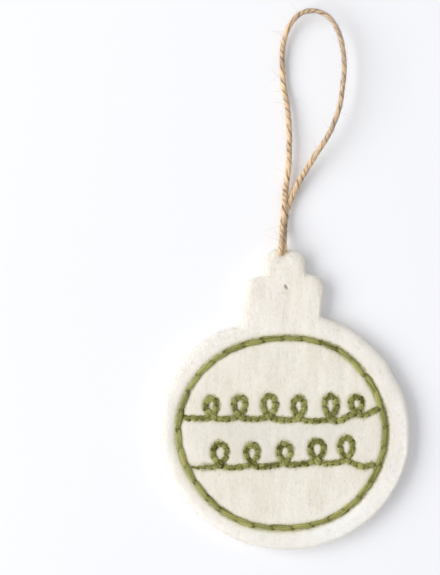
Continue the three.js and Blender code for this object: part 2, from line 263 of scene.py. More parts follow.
# At shares of the twine's run: how thick it is, and how far it springs up from the solids' route
RUN_SHARES = (0, 0.1, 0.16, 0.3, 0.45, 0.55, 0.7, 0.82, 0.9, 1)
FULLNESS = (0.9, 0.95, 1.2, 1.06, 0.97, 0.88, 0.95, 1.25, 1.0, 0.9)
RAISED = (0, 0, 0, 0, 0.3, 1.6, 2, 0.5, 0, 0)
SPRING_MEAN = 30
TWINE_STEP = 0.4
NEEDLE_HOLE = np.array([0.4, HINGE[1] - 11.2])
TAIL_PAST_HOLE = 1.3
TAIL_REACH = 1.23
TAIL_SPACING = 2.06

# The twine's neck: within a reach of the hinge the legs close up by a share, the left one is raised and the
# right one lowered, and both are shifted towards the edge. At places out from it they sink by shares of their
# height.
NECK_REACH = 6.5
LEG_PINCH = 0.3
LEG_RAISE = 0.4
ENTRY_SHIFT = 2.8
ENTRY_DIFFERENCE = 0.4
ENTRY_PLACE = -1.5
ENTRY_SPREAD = 3.2
SUNK_PLACES = (3, 9, 22, 40)
SUNK = (0, 0.45, 0.45, 0)

# Plies of the twine: the middle of a ply's section and its reach outwards, inwards and sideways, in radii,
# the ribs of its fibres, how far it strays, and the range of random phases
PLY_MIDDLE = 0.46
PLY_OUTER = 0.53
PLY_INNER = 0.8
PLY_SIDE = 0.92
PLY_RIBS = 5
RIB_HEIGHT = 0.045
PLY_STRAY = 0.07
LAY_STRAY = 0.6
PHASES = (0, 6.3)

# Dents in the front: how far the grooves of ring and curls reach, then the depth and reach of the dent where
# the twine goes in, measured in its half sizes, and of the pit at the needle hole
RING_GROOVE_REACH = 1.5
CURL_GROOVE_REACH = 1.2
CURL_GROOVE_SHARE = 0.7
TWINE_ENTRY = HINGE[:2] + (0, 0.8)
ENTRY_HALF = np.array([1.6, 1.5])
ENTRY_DENT = (0.9, 1.0)
HOLE_DENT = (0.35, 0.6)

# Lint and painted shade: a green tint for cotton lint and for the shade that the stitches cast and that lies
# in the curls' loops. Its share along the ring and the curls and how far it reaches, then its share inside
# the ring and how far from the ring that sets in
RING_LINT_AND_SHADE = (0.9, 1.45)
CURL_LINT_AND_SHADE = (0.5, 1.6)
INNER_LINT_AND_SHADE = 0.08
INNER_LINT_AND_SHADE_START = 3.0

# Paler tone: its most, the distances outside the ring between which it grows, and the heights over the disc's
# middle between which it sets in
PALE_MOST = 0.35
PALE_GROWTH = (1.0, 4.0)
PALE_FADE = (40.0, 32.0)

# Loose fibres: the radius of each kind, how high they keep over the table, how far in from the edge those of
# the face start and those of the rim may, what share is on the rim and not on the wall, where the cotton on
# a line of stitches starts, and how much of the twine's ends is bare
FACE_FIBRE = 0.022
RIM_FIBRE = 0.026
COTTON_FIBRE = 0.03
JUTE_FIBRE = 0.032
WOOL_OVER_TABLE = 0.06
JUTE_OVER_TABLE = 0.12
FACE_FUZZ_INSET = 3.0
RIM_FUZZ_INSET = 4.5
RIM_FUZZ_SHARE = 0.7
COTTON_START = 3.5
BARE_ENDS = 16.0

# Tones that no setting changes, and patches of other tones on the front: the middle of each, its half
# sizes, its turn and its strength. A patch fades between two shares of its half sizes. The grey tone with its
# patch, and the left patch, are painted shade. The pale tone makes the felt paler outside the ring and at the
# lower right, and the pale fibre is partly a painted brightness for light that passes through thin fibres.
# Paler tone of the felt outside the ring and at the lower right.
PALE_TONE = (1.0, 0.99, 0.95)
# Grey of the painted shade between the rows of curls.
PAINTED_SHADE_GREY = (0.67, 0.67, 0.65)
# Palest loose wool, partly a painted brightness for light that passes through thin fibres.
PALE_AND_LIT_FIBRE = (1.0, 0.99, 0.96)
# Painted shade on the left of the ring's inside, in the dark fibre's colour.
LEFT_SHADE_PATCH = (RING_CENTRE - (17, 0), (14, 22), 0, 0.3)
# Paler tone at the lower right of the disc.
PALE_PATCH = (RING_CENTRE + (21, -31), (17, 6), 0.65, 0.7)
# Painted shade over the middle of the ring, between the rows of curls.
GREY_SHADE_PATCH = (RING_CENTRE, (33, 13), 0, 0.2)
WARM_PATCH = (NEEDLE_HOLE + (0.3, -1.6), (1.3, 1.7), 0.3, 0.5)
HOLE_PATCH = (NEEDLE_HOLE, (0.55, 1.1), 0.52, 1)
PATCH_FADE = (0.4, 1.4)
WARMTH = 0.35

# The picture: the place and the height in it that the camera looks down on
PICTURE_CENTRE = np.array([-23.4, 40.5])
PICTURE_HEIGHT = 207.0
SENSOR = 36

# The stage: half the table's side and how far it lies under the felt, then the window's sizes and distance in
# metres and the direction it stands in, and the colour of the room's light
TABLE_HALF = 2500.0
TABLE_DROP = 0.05
TABLE_SHADE = 0.985
WINDOW_SIZE = (3.2, 1.7)
WINDOW_AWAY = 2.4
WINDOW_HEADING = np.array([-0.81, 0, 0.585])
ROOM_COLOUR = (0.97, 0.97, 1.0)

# Seeds of the random draws
FRONT_SEED, BACK_SEED, FACE_FUZZ_SEED, RIM_FUZZ_SEED = 1, 2, 3, 4
FRONT_SWELL_SEED, BACK_SWELL_SEED = 11, 12
RING_SEED, UPPER_SEED, LOWER_SEED = 21, 22, 23
PLY_SEED, HAIR_SEED = 31, 32


def linear(red, green, blue):
    """A colour given in display values of 0 to 255, as the linear values that shaders take."""
    value = np.array([red, green, blue]) / 255
    low = value / 12.92
    high = ((value + 0.055) / 1.055) ** 2.4
    return tuple(float(v) for v in np.where(value <= 0.04045, low, high))


def colour_property(name, description, shade):
    return FloatVectorProperty(
        name=name, description=description, default=linear(*shade), subtype="COLOR", min=0, max=1
    )


def length_property(name, description, millimetres):
    return FloatProperty(
        name=name, description=description, default=millimetres * MM, min=0, subtype="DISTANCE", unit="LENGTH"
    )


def count_property(name, description, count, least=0):
    return IntProperty(name=name, description=description, default=count, min=least)


class FeltSettings(bpy.types.PropertyGroup):
    """Sizes and colours of the two felt layers."""

    light: colour_property("Light fibre", "Colour of the palest wool", (251, 247, 237))
    # The dark fibre colour also paints the shade of the left patch on the front.
    dark: colour_property("Dark fibre", "Colour of the wool in its streaks", (236, 228, 214))
    fleck: colour_property("Fleck", "Colour of the specks of straw in the wool", (192, 166, 126))
    # The lint colour is also painted shade cast by the stitches and lying in the curls' loops.
    lint_and_shade: colour_property("Lint", "Colour of the wool where cotton lint clings to it", (208, 206, 158))
    hole: colour_property("Needle hole", "Colour inside the needle hole", (172, 156, 134))
    rim: length_property("Rim round", "How far in from its edge the felt's face rounds off", 1.8)
    waver: length_property("Cut waver", "How far the scissors strayed from the line", 0.07)
    swell: length_property("Swell", "Height of the soft unevenness of a face", 0.06)
    groove: length_property("Stitch groove", "How deep the ring of stitches draws the felt in", 0.5)
    face_fibres: count_property("Face fibres", "Loose fibres on the front", 6400)
    rim_fibres: count_property("Rim fibres", "Loose fibres round the edge", 10400)


class ThreadSettings(bpy.types.PropertyGroup):
    """Sizes and colours of the stitching."""

    light: colour_property("Light strand", "Colour of the palest floss", (186, 184, 112))
    dark: colour_property("Dark strand", "Colour of the darkest floss", (84, 86, 34))
    ring_width: length_property("Ring width", "Width of a stitch of the ring", 1.58)
    curl_width: length_property("Curl width", "Width of a stitch of the curls", 1.8)
    strands: count_property("Strands", "Strands in the floss", 6, 3)
    fuzz: count_property("Fuzz", "Loose cotton fibres in 10 mm of stitching", 300)


class TwineSettings(bpy.types.PropertyGroup):
    """Sizes and colours of the hanging twine."""

    light: colour_property("Light fibre", "Colour of the palest jute", (252, 229, 192))
    middle: colour_property("Fibre", "Colour of most of the jute", (222, 186, 143))
    # This colour is painted shade in the creases between the plies, and darker jute in random patches.
    dark: colour_property("Dark fibre", "Colour of the jute between the plies", (142, 102, 66))
    hair: colour_property("Stray hair", "Colour of the hairs that stand off", (205, 196, 186))
    diameter: length_property("Diameter", "Thickness of the twine", 1.76)
    lay: length_property("Lay", "Length of twine in one turn of its two plies", 6.8)
    loose_fibres: count_property("Loose fibres", "Fibres that lie along the twine", 1000)
    stray_hairs: count_property("Stray hairs", "Hairs that stand off the twine", 90)


class StageSettings(bpy.types.PropertyGroup):
    """The table, the light and the camera."""

    floor: colour_property("Table", "Colour of the table", (252, 253, 255))
    key_power: FloatProperty(
        name="Key light",
        description="Power of the window light",
        default=57.5,
        min=0,
        subtype="POWER",
        unit="POWER",
    )
    fill: FloatProperty(name="Fill", description="Brightness of the room's light", default=0.56, min=0)
    camera_height: length_property("Camera height", "How far the camera is above the felt", 700)


class OrnamentSettings(bpy.types.PropertyGroup):
    """All settings of the ornament."""

    felt: PointerProperty(type=FeltSettings)
    thread: PointerProperty(type=ThreadSettings)
    twine: PointerProperty(type=TwineSettings)
    stage: PointerProperty(type=StageSettings)


# Numbers and lines


def bell(distance, height, reach):
    """A soft bump over distances: height * exp(-(distance / reach) squared)."""
    return height * np.exp(-((distance / reach) ** 2))


def fade(value, none, full):
    """0 where a value is at none, 1 where it is at full, straight between them and level past them."""
    return np.clip((value - none) / (full - none), 0, 1)


def lifted(plan, height):
    """Plan points with their heights, as points in space."""
    return np.concatenate([plan, np.broadcast_to(height, plan.shape[:-1])[..., None]], axis=-1)


def spline(points, per_span):
    """A smooth line through points: cubic spans whose slope at a point weighs the steps before and after it
    by the square roots of their lengths."""
    points = np.asarray(points, float)
    padded = np.vstack([2 * points[0] - points[1], points, 2 * points[-1] - points[-2]])
    p0, p1, p2, p3 = padded[:-3], padded[1:-2], padded[2:-1], padded[3:]
    d0, d1, d2 = (np.sqrt(np.linalg.norm(b - a, axis=1))[:, None] for a, b in ((p0, p1), (p1, p2), (p2, p3)))
    slope1 = ((p1 - p0) / d0 - (p2 - p0) / (d0 + d1) + (p2 - p1) / d1) * d1
    slope2 = ((p2 - p1) / d1 - (p3 - p1) / (d1 + d2) + (p3 - p2) / d2) * d1
    t = np.linspace(0, 1, per_span, endpoint=False)[None, :, None]
    p1, p2, slope1, slope2 = (a[:, None, :] for a in (p1, p2, slope1, slope2))
    spans = (
        (2 * t**3 - 3 * t**2 + 1) * p1 + (t**3 - 2 * t**2 + t) * slope1
        + (3 * t**2 - 2 * t**3) * p2 + (t**3 - t**2) * slope2
    )
    return np.vstack([spans.reshape(-1, points.shape[1]), points[-1]])


def run_of(line):
    """Distance of each point of a line from its start, along the line."""
    return np.concatenate([[0.0], np.cumsum(np.linalg.norm(np.diff(line, axis=0), axis=1))])


def along(line, distances):
    """The points of a line at distances from its start."""
    run = run_of(line)
    return np.stack([np.interp(distances, run, line[:, i]) for i in range(line.shape[1])], axis=-1)


def unit(vectors):
    """Vectors scaled to a length of 1."""
    return vectors / np.maximum(np.linalg.norm(vectors, axis=-1, keepdims=True), TINY)


def ellipse_arc(centre, half, start, end, count):
    """Points on an ellipse from one angle to another."""
    angle = np.linspace(start, end, count)
    return np.column_stack([centre[0] + half[0] * np.cos(angle), centre[1] + half[1] * np.sin(angle)])


def bow(p0, p1, p2, count):
    """Points on the curve that leaves p0 towards p1 and reaches p2 from p1."""
    t = np.linspace(0, 1, count)[:, None]
    return (1 - t) ** 2 * np.array(p0) + 2 * t * (1 - t) * np.array(p1) + t**2 * np.array(p2)


def half_outline(waist, shoulder, step, lobe, cut):
    """One side of the felt as if on the right, from the bottom of the disc to the middle of the crown: an arc
    of the disc, lowered towards the waist by a bell as high as the cut, the neck's bow, a straight side, the
    shoulder's lobe, the notch, and the crown's lobe."""
    half = (HALF_WIDTH, DISC_HALF_HEIGHT)
    disc = ellipse_arc((0, DISC_Y), half, -np.pi / 2, np.arccos(waist / HALF_WIDTH), 120)
    disc[:, 1] -= bell(disc[:, 0] - waist, cut, CUT_REACH) * (disc[:, 1] > DISC_Y)
    waist_y = disc[-1, 1]
    shoulder_y = TOP_Y - step
    side = shoulder_y - waist_y
    lean = shoulder - waist
    crown = CROWN_WIDTH / 2
    crown_flat = crown - CROWN_LOBE
    neck_bend = (waist - NECK_IN, waist_y + NECK_BEND_SHARE * side)
    neck_end = (waist + NECK_END_SHARE * lean, waist_y + NECK_END_SHARE * side)
    notch_end = (crown - NOTCH_IN, shoulder_y + NOTCH_SHARE * step)
    return np.vstack([
        disc,
        bow((waist, waist_y), neck_bend, neck_end, 12)[1:],
        ellipse_arc((shoulder - lobe, shoulder_y - lobe), (lobe, lobe), 0, np.pi / 2, 16),
        bow((shoulder - lobe, shoulder_y), (crown, shoulder_y), notch_end, 12)[1:],
        ellipse_arc((crown_flat, TOP_Y - CROWN_LOBE), (CROWN_LOBE, CROWN_LOBE), 0, np.pi / 2, 16),
        bow((crown_flat, TOP_Y), (crown_flat / 2, TOP_Y), (0, TOP_Y - CROWN_DENT), 8)[1:],
    ])


def felt_outline(columns, waver, seed):
    """The cut edge as evenly spaced points, anticlockwise from the bottom: both sides joined, its corners
    softened by weakening its short waves, and moved in and out along its normals, by the disc's tilt, as
    tilt * (half width - half height) * sin(2 * angle), and by a sum of waves of random phase."""
    right = half_outline(*RIGHT_SIDE)
    left = half_outline(*LEFT_SIDE)[::-1] * (-1, 1)
    line = np.vstack([right, left[1:]])
    line = along(line, np.linspace(0, run_of(line)[-1], columns, endpoint=False))
    turns = np.fft.fftfreq(columns, 1 / columns)
    kept = np.exp(-((turns / columns * CORNER_SOFTNESS) ** 2))
    line = np.fft.ifft(np.fft.fft(line, axis=0) * kept[:, None], axis=0).real
    phase = np.random.default_rng(seed).uniform(0, 2 * np.pi, len(CUT_WAVES))
    share = np.arange(columns)[:, None] / columns
    stray = (np.cos(2 * np.pi * CUT_WAVES * share + phase) * CUT_WAVES**-0.5).sum(1)
    angle = np.arctan2(line[:, 1] - DISC_Y, line[:, 0])
    tilt = DISC_TILT * (HALF_WIDTH - DISC_HALF_HEIGHT) * np.sin(2 * angle)
    tilt = tilt * fade(line[:, 1] - DISC_Y, *TILT_FADE)
    return line + outward(line) * (waver * stray / stray.std() + tilt)[:, None]


def rim_round(outline, rim):
    """How far in the rim rounds off along an outline: rim * (1 - lean * across + gain * across * (up +
    start)), where across and up are the parts of its normal. The last term counts at the upper right only."""
    across, up = outward(outline).T
    upper_right = np.maximum(across, 0) * np.maximum(up + RIM_GAIN_START, 0)
    return rim * (1 - RIM_LEAN * across + RIM_GAIN * upper_right)


def outward(outline):
    """Normals of a closed anticlockwise outline."""
    step = np.roll(outline, -1, 0) - np.roll(outline, 1, 0)
    return unit(np.column_stack([step[:, 1], -step[:, 0]]))


def distance_to(points, line, closed):
    """Least distance of each plan point to a line of straight steps, worked out in blocks of points."""
    starts = line if closed else line[:-1]
    steps = (np.roll(line, -1, 0) if closed else line[1:]) - starts
    square = np.maximum((steps**2).sum(1), TINY)
    blocks = max(1, len(points) // BLOCK)
    nearest = []
    for block in np.array_split(points, blocks):
        away = block[:, None, :] - starts[None]
        share = np.clip((away * steps).sum(2) / square, 0, 1)
        nearest.append(np.linalg.norm(away - share[..., None] * steps, axis=2).min(1))
    return np.concatenate(nearest)


def ring_stray(angle):
    """How far the ring is outside its ellipse at an angle: the sum of size * cos(number * angle - phase)."""
    return sum(size * np.cos(number * angle - phase) for number, size, phase in RING_WAVES)


def ring_line():
    """The ring's line, anticlockwise from its right, with a lap more at both ends, so that its last stitches
    can lie over its first."""
    angle = 2 * np.pi * np.linspace(-RING_LAP, 1 + RING_LAP, 1200)
    half = RING_HALF + ring_stray(angle)[:, None]
    return RING_CENTRE + half * np.column_stack([np.cos(angle), np.sin(angle)])


def curl_line(curls, ends):
    """A row of curls as one smooth line through its start, the points of every curl and its last points."""
    start, *last = (RING_CENTRE + np.array(place) * RING_HALF for place in ends)
    points = [start]
    for x, y, half_width, height in curls:
        crossing = RING_CENTRE + np.array([x, y]) * RING_HALF
        points.extend(crossing + CURL_FORM * (half_width, height))
    return spline(points + last, 16)


def waves_over(points, length, seed):
    """A smooth random height over plan points: the sum of plane waves of random heading and phase, of about
    the given wavelength, scaled to a spread of one."""
    rng = np.random.default_rng(seed)
    heading = rng.uniform(0, 2 * np.pi, SWELL_WAVES)
    pace = 2 * np.pi / length * rng.uniform(0.5, 1.5, SWELL_WAVES)
    phase = rng.uniform(0, 2 * np.pi, SWELL_WAVES)
    way = np.stack([np.cos(heading), np.sin(heading)]) * pace
    return np.cos(points @ way + phase).sum(-1) * np.sqrt(2 / SWELL_WAVES)


# Meshes


class Surface:
    """Vertices in millimetres, faces of four and of three corners, and each corner's place on the UV map."""

    def __init__(self, vertices, quads, tris, quad_uv=None, tri_uv=None):
        self.vertices = vertices
        self.quads = quads
        self.tris = tris
        self.quad_uv = quad_uv
        self.tri_uv = tri_uv


def mesh_object(name, surface, material, values=None):
    """A smooth mesh object at the origin, in metres, with named numbers on its vertices."""
    mesh = bpy.data.meshes.new(name)
    mesh.vertices.add(len(surface.vertices))
    mesh.vertices.foreach_set("co", (surface.vertices * MM).astype(np.float32).ravel())
    corners = np.concatenate([surface.quads.ravel(), surface.tris.ravel()]).astype(np.int32)
    quad_starts = 4 * np.arange(len(surface.quads))
    tri_starts = 4 * len(surface.quads) + 3 * np.arange(len(surface.tris))
    mesh.loops.add(len(corners))
    mesh.loops.foreach_set("vertex_index", corners)
    mesh.polygons.add(len(quad_starts) + len(tri_starts))
    mesh.polygons.foreach_set("loop_start", np.concatenate([quad_starts, tri_starts]).astype(np.int32))
    mesh.update(calc_edges=True)
    if surface.quad_uv is not None:
        places = np.concatenate([surface.quad_uv.reshape(-1, 2), surface.tri_uv.reshape(-1, 2)])
        mesh.uv_layers.new(name="UVMap").data.foreach_set("uv", places.astype(np.float32).ravel())
    for key, numbers in (values or {}).items():
        named = mesh.attributes.new(key, "FLOAT", "POINT")
        named.data.foreach_set("value", numbers.astype(np.float32).ravel())
    if mesh.validate():
        raise RuntimeError(name + " has faces that can't be kept")
    mesh.shade_smooth()
    mesh.materials.append(material)
    made = bpy.data.objects.new(name, mesh)
    bpy.context.scene.collection.objects.link(made)
    return made


def rings_faces(tubes, rings, sides):
    """Faces of closed tubes: quads between neighbouring rings, and a fan of triangles to a pole at each end.
    Vertices come tube by tube and ring by ring, and then the start and end poles of every tube."""
    t, i, j = np.meshgrid(np.arange(tubes), np.arange(rings - 1), np.arange(sides), indexing="ij")
    base = t * rings * sides + i * sides
    across = (j + 1) % sides
    quads = np.stack([base + j, base + across, base + sides + across, base + sides + j], axis=-1)
    t, j = np.meshgrid(np.arange(tubes), np.arange(sides), indexing="ij")
    across = (j + 1) % sides
    first = t * rings * sides
    last = first + (rings - 1) * sides
    pole = tubes * rings * sides + 2 * t
    start_fan = np.stack([pole, first + across, first + j], axis=-1)
    end_fan = np.stack([pole + 1, last + j, last + across], axis=-1)
    return quads.reshape(-1, 4), np.concatenate([start_fan.reshape(-1, 3), end_fan.reshape(-1, 3)])


def join(first, second):
    """Two surfaces as one."""
    count = len(first.vertices)
    return Surface(
        np.concatenate([first.vertices, second.vertices]),
        np.concatenate([first.quads, second.quads + count]),
        np.concatenate([first.tris, second.tris + count]),
        np.concatenate([first.quad_uv, second.quad_uv]),
        np.concatenate([first.tri_uv, second.tri_uv]),
    )


def closed_tubes(rings):
    """Tubes from rings of points in an array of tube, ring, side and place, each closed by a pole at the
    middle of its end rings. On the UV map u is the ring's number and v goes once round."""
    tubes, count, sides, _ = rings.shape
    quads, tris = rings_faces(tubes, count, sides)
    poles = np.stack([rings[:, 0].mean(1), rings[:, -1].mean(1)], axis=1)
    vertices = np.concatenate([rings.reshape(-1, 3), poles.reshape(-1, 3)])
    _, i, j = np.meshgrid(np.arange(tubes), np.arange(count - 1), np.arange(sides), indexing="ij")
    u = np.stack([i, i, i + 1, i + 1], axis=-1)
    v = np.stack([j, j + 1, j + 1, j], axis=-1) / sides
    quad_uv = np.stack([u, v], axis=-1).reshape(-1, 4, 2).astype(float)
    tri_uv = np.zeros((len(tris), 3, 2))
    tri_uv[len(tris) // 2:, :, 0] = count - 1
    tri_uv[..., 1] = 0.5
    return Surface(vertices, quads, tris, quad_uv, tri_uv)


def turned_to(angle, first, second):
    """Directions at angles from first towards second: cos(angle) * first + sin(angle) * second."""
    return np.cos(angle)[..., None] * first + np.sin(angle)[..., None] * second


def round_tubes(paths, side, radius, sides):
    """Round tubes along paths in an array of tube, station and place: at each station a circle is drawn
    square to the path, from the direction nearest to side."""
    tangent = unit(np.gradient(paths, axis=1))
    second = unit(np.cross(tangent, side))
    first = np.cross(second, tangent)
    angle = 2 * np.pi * np.arange(sides) / sides
    spokes = turned_to(angle, first[..., None, :], second[..., None, :])
    return closed_tubes(paths[:, :, None, :] + radius[:, :, None, None] * spokes)


def edge_height(face, seam):
    """The height at which a layer's face ends and its wall starts: halfway between its face and its seam."""
    return seam + 0.5 * (face - seam)


def rounded_face(inside, rim, face, seam):
    """Height of a layer's face at distances inside its edge: a quarter circle over the rim, then level."""
    short = np.clip(1 - inside / rim, 0, 1)
    edge = edge_height(face, seam)
    return edge + np.sqrt(1 - short**2) * (face - edge)


def felt_layer(outline, rim, face, seam, relief):
    """One closed layer of felt, as a function of the place round its edge and a profile that runs from the
    pole of its face to the edge, down its wall and back to the pole of its seam.
    A face point is the pole plus a share of the way to the edge, at the height of the rounded face plus the
    relief. The wall is drawn in towards the seam."""
    turned = np.sign(face - seam)
    spread = outline - FELT_POLE
    plan = FELT_POLE + FACE_ROWS[:, None, None] * spread
    inside = distance_to(plan.reshape(-1, 2), outline[::2], True).reshape(plan.shape[:2])
    inside[-1] = 0
    height = rounded_face(inside, rim, face, seam)
    height = height + turned * relief(plan.reshape(-1, 2), inside.ravel()).reshape(inside.shape)
    wall_plan = outline - WALL_INSETS[:, None, None] * outward(outline)
    edge = edge_height(face, seam)
    wall_height = edge + WALL_DROPS[:, None] * (seam - edge)
    under_plan = FELT_POLE + UNDER_ROWS[:, None, None] * spread
    rows = [lifted(plan, height), lifted(wall_plan, wall_height), lifted(under_plan, seam)]
    made = closed_tubes(np.concatenate(rows)[None])
    order = -1 if turned > 0 else 1
    return Surface(made.vertices, made.quads[:, ::order], made.tris[:, ::order])


# Materials


class Shader:
    """A material with one Principled shader, and short ways to add nodes to it."""

    def __init__(self, name, roughness, sheen=0.0, specular=0.2):
        self.material = bpy.data.materials.new(name)
        self.material.use_nodes = True
        self.tree = self.material.node_tree
        self.main = next(n for n in self.tree.nodes if n.type == "BSDF_PRINCIPLED")
        self.main.inputs["Roughness"].default_value = roughness
        self.main.inputs["Specular IOR Level"].default_value = specular
        self.main.inputs["Sheen Weight"].default_value = sheen
        self.main.inputs["Sheen Roughness"].default_value = 0.6

    def add(self, kind, inputs, output=0, **settings):
        """Adds a node with its settings. Each input takes a value, or the socket that feeds it."""
        node = self.tree.nodes.new(kind)
        for key, value in settings.items():
            setattr(node, key, value)
        for key, value in inputs.items():
            if isinstance(value, bpy.types.NodeSocket):
                self.tree.links.new(value, node.inputs[key])
            else:
                node.inputs[key].default_value = value
        return node.outputs[output]

    def place(self, source, scale, turn=0):
        """The Object or UV coordinates, turned on the plan and stretched."""
        start = self.add("ShaderNodeTexCoord", {}, source)
        return self.add("ShaderNodeMapping", {"Vector": start, "Rotation": (0, 0, turn), "Scale": scale})

    def noise(self, vector, scale, detail, low=0.3, high=0.7):
        """Noise stretched so that low becomes 0 and high becomes 1."""
        grain = self.add("ShaderNodeTexNoise", {"Vector": vector, "Scale": scale, "Detail": detail})
        return self.span(grain, low, high)

    def speckle(self, scale, detail, low=0.3, high=0.7, stretch=(1, 1, 1), turn=0):
        """Noise on the Object coordinates."""
        return self.noise(self.place("Object", stretch, turn), scale, detail, low, high)

    def span(self, value, low, high, to_low=0.0, to_high=1.0):
        """A value eased from one range to another."""
        limits = {"From Min": low, "From Max": high, "To Min": to_low, "To Max": to_high}
        return self.add("ShaderNodeMapRange", {"Value": value, **limits}, interpolation_type="SMOOTHSTEP")

    def total(self, start, *parts):
        """start, plus every value times its weight."""
        for value, weight in parts:
            start = self.add("ShaderNodeMath", {0: value, 1: weight, 2: start}, operation="MULTIPLY_ADD")
        return start

    def mix(self, share, first, second):
        """first where the share is 0, second where it is 1, each a colour or a socket."""
        first = first if isinstance(first, bpy.types.NodeSocket) else (*first, 1)
        second = second if isinstance(second, bpy.types.NodeSocket) else (*second, 1)
        return self.add("ShaderNodeMix", {0: share, 6: first, 7: second}, 2, data_type="RGBA")

    def patch(self, middle, half, turn, most):
        """A soft ellipse on the plan: most at its middle, fading to nothing round its edge."""
        start = self.add("ShaderNodeTexCoord", {}, "Object")
        spread = self.add("ShaderNodeMapping", {
            "Vector": start,
            "Location": (*(middle * MM), FACE_Z * MM),
            "Rotation": (0, 0, turn),
            "Scale": (*(np.array(half) * MM), 1),
        }, vector_type="TEXTURE")
        away = self.add("ShaderNodeVectorMath", {0: spread}, "Value", operation="LENGTH")
        return self.span(away, *PATCH_FADE, most, 0)

    def attribute(self, name):
        return self.add("ShaderNodeAttribute", {}, "Fac", attribute_name=name)

    def colour(self, socket):
        self.tree.links.new(socket, self.main.inputs["Base Color"])

    def bump(self, height, strength, distance):
        normal = self.add("ShaderNodeBump", {"Height": height, "Strength": strength, "Distance": distance})
        self.tree.links.new(normal, self.main.inputs["Normal"])


def wool_felt(settings, with_hole):
    """Pressed cream wool: soft streaks along the fibre, blotches, grain, fine fuzz and flecks of straw. The
    front has patches of other tones too: painted shade on the left and between the rows of curls, a paler
    tone outside the ring and at the lower right, green lint mixed with painted shade from the stitches, a
    warm tint and a tan needle hole."""
    shader = Shader("wool_felt_front" if with_hole else "wool_felt_back", 1.0, sheen=0.12, specular=0.08)
    streaks = shader.speckle(480, 2, 0.32, 0.68, stretch=(1, 0.16, 1), turn=0.05)
    blotches = shader.speckle(150, 2, stretch=(1, 0.6, 1))
    fuzz = shader.speckle(2600, 3, stretch=(1, 0.45, 1), turn=-0.3)
    grain = shader.speckle(1150, 2, stretch=(1, 0.7, 1), turn=0.2)
    tone = shader.total(-0.05, (streaks, 0.4), (blotches, 0.25), (fuzz, 0.15), (grain, 0.3))
    cream = shader.mix(tone, settings.dark, settings.light)
    flecks = shader.speckle(700, 1, 0.74, 0.9, stretch=(1, 0.7, 1))
    cream = shader.mix(flecks, cream, settings.fleck)
    if with_hole:
        # Painted shade: the left patch in the dark fibre's colour and the grey patch. The lint share is green
        # lint mixed with painted shade from the stitches.
        tints = (
            (shader.patch(*LEFT_SHADE_PATCH), settings.dark),
            (shader.attribute("pale"), PALE_TONE),
            (shader.patch(*PALE_PATCH), PALE_TONE),
            (shader.patch(*GREY_SHADE_PATCH), PAINTED_SHADE_GREY),
            # Green lint mixed with painted shade from the stitches.
            (shader.attribute("lint_and_shade"), settings.lint_and_shade),
        )
        for share, tint in tints:
            cream = shader.mix(share, cream, tint)
        warmed = shader.mix(WARMTH, cream, settings.fleck)
        cream = shader.mix(shader.patch(*WARM_PATCH), cream, warmed)
        cream = shader.mix(shader.patch(*HOLE_PATCH), cream, settings.hole)
    shader.colour(cream)
    shader.bump(shader.total(0.0, (fuzz, 0.7), (streaks, 0.3)), 0.22, 0.12 * MM)
    return shader.material


def wool_fibre(settings):
    """Single loose wool fibres, a little paler here and there, partly a painted brightness for light that
    passes through them.
    """
    shader = Shader("wool_fibre", 0.9, sheen=0.1, specular=0.15)
    shader.colour(shader.mix(shader.speckle(400, 1), settings.light, PALE_AND_LIT_FIBRE))
    return shader.material


def cotton_floss(settings):
    """Six-strand cotton: each strand has its own shade, with painted shade where it goes into the felt and a
    painted highlight on the ring's top strands, and a fine twist."""
    shader = Shader("cotton_floss", 0.75, sheen=0.04, specular=0.12)
    fleck = shader.total(-0.5, (shader.speckle(1800, 2), 1.0))
    tone = shader.total(shader.attribute("shade"), (fleck, 0.3))
    shader.colour(shader.mix(tone, settings.dark, settings.light))
    twist = shader.add("ShaderNodeTexWave", {
        "Vector": shader.place("UV", (1, 2, 1)), "Scale": 0.5, "Distortion": 1.0, "Detail": 1.0,
    }, 1, bands_direction="DIAGONAL")
    shader.bump(twist, 0.25, 0.08 * MM)
    return shader.material


def jute_twine(settings):
    """Two plies of jute: long fibres of mixed straw and brown along the ply, painted shade in the creases
    where the plies meet, and darker jute in random patches."""
    shader = Shader("jute_twine", 0.9, sheen=0.1, specular=0.12)
    fibres = shader.noise(shader.place("UV", (0.05, 11, 1)), 1, 3, 0.28, 0.72)
    patches = shader.speckle(260, 2)
    straw = shader.mix(shader.total(0.0, (fibres, 0.6), (patches, 0.4)), settings.middle, settings.light)
    # The crease share is painted shade between the plies, and the patches darken the jute at random.
    depth = shader.total(shader.attribute("crease_shade"), (shader.total(-0.5, (patches, 1.0)), 0.8))
    shader.colour(shader.mix(depth, straw, settings.dark))
    shader.bump(fibres, 0.5, 0.12 * MM)
    return shader.material


def jute_hair(settings):
    """Single jute hairs of grey tan, some darker."""
    shader = Shader("jute_hair", 0.8, specular=0.2)
    darker = tuple(0.8 * c for c in settings.hair)
    shader.colour(shader.mix(shader.speckle(300, 1), darker, settings.hair))
    return shader.material


# Pieces


def outside_ring(points):
    """How far plan points lie outside the ring's ellipse, less than 0 inside it: its mean half size times
    (distance from its middle in half sizes - 1)."""
    return (np.linalg.norm((points - RING_CENTRE) / RING_HALF, axis=1) - 1) * RING_HALF.mean()


def stitches_away(points):
    """How far plan points lie from the ring's line and from the nearest line of curls."""
    across, up = ((points - RING_CENTRE) / RING_HALF).T
    ring_away = np.abs(outside_ring(points) - ring_stray(np.arctan2(up, across)))
    curl_away = np.full(len(points), FAR)
    near = np.abs(points[:, 1] - RING_CENTRE[1]) < 0.6 * RING_HALF[1]
    rows = (curl_line(*row)[::3] for row in ((UPPER_CURLS, UPPER_ENDS), (LOWER_CURLS, LOWER_ENDS)))
    curl_away[near] = np.minimum(*(distance_to(points[near], row, False) for row in rows))
    return ring_away, curl_away


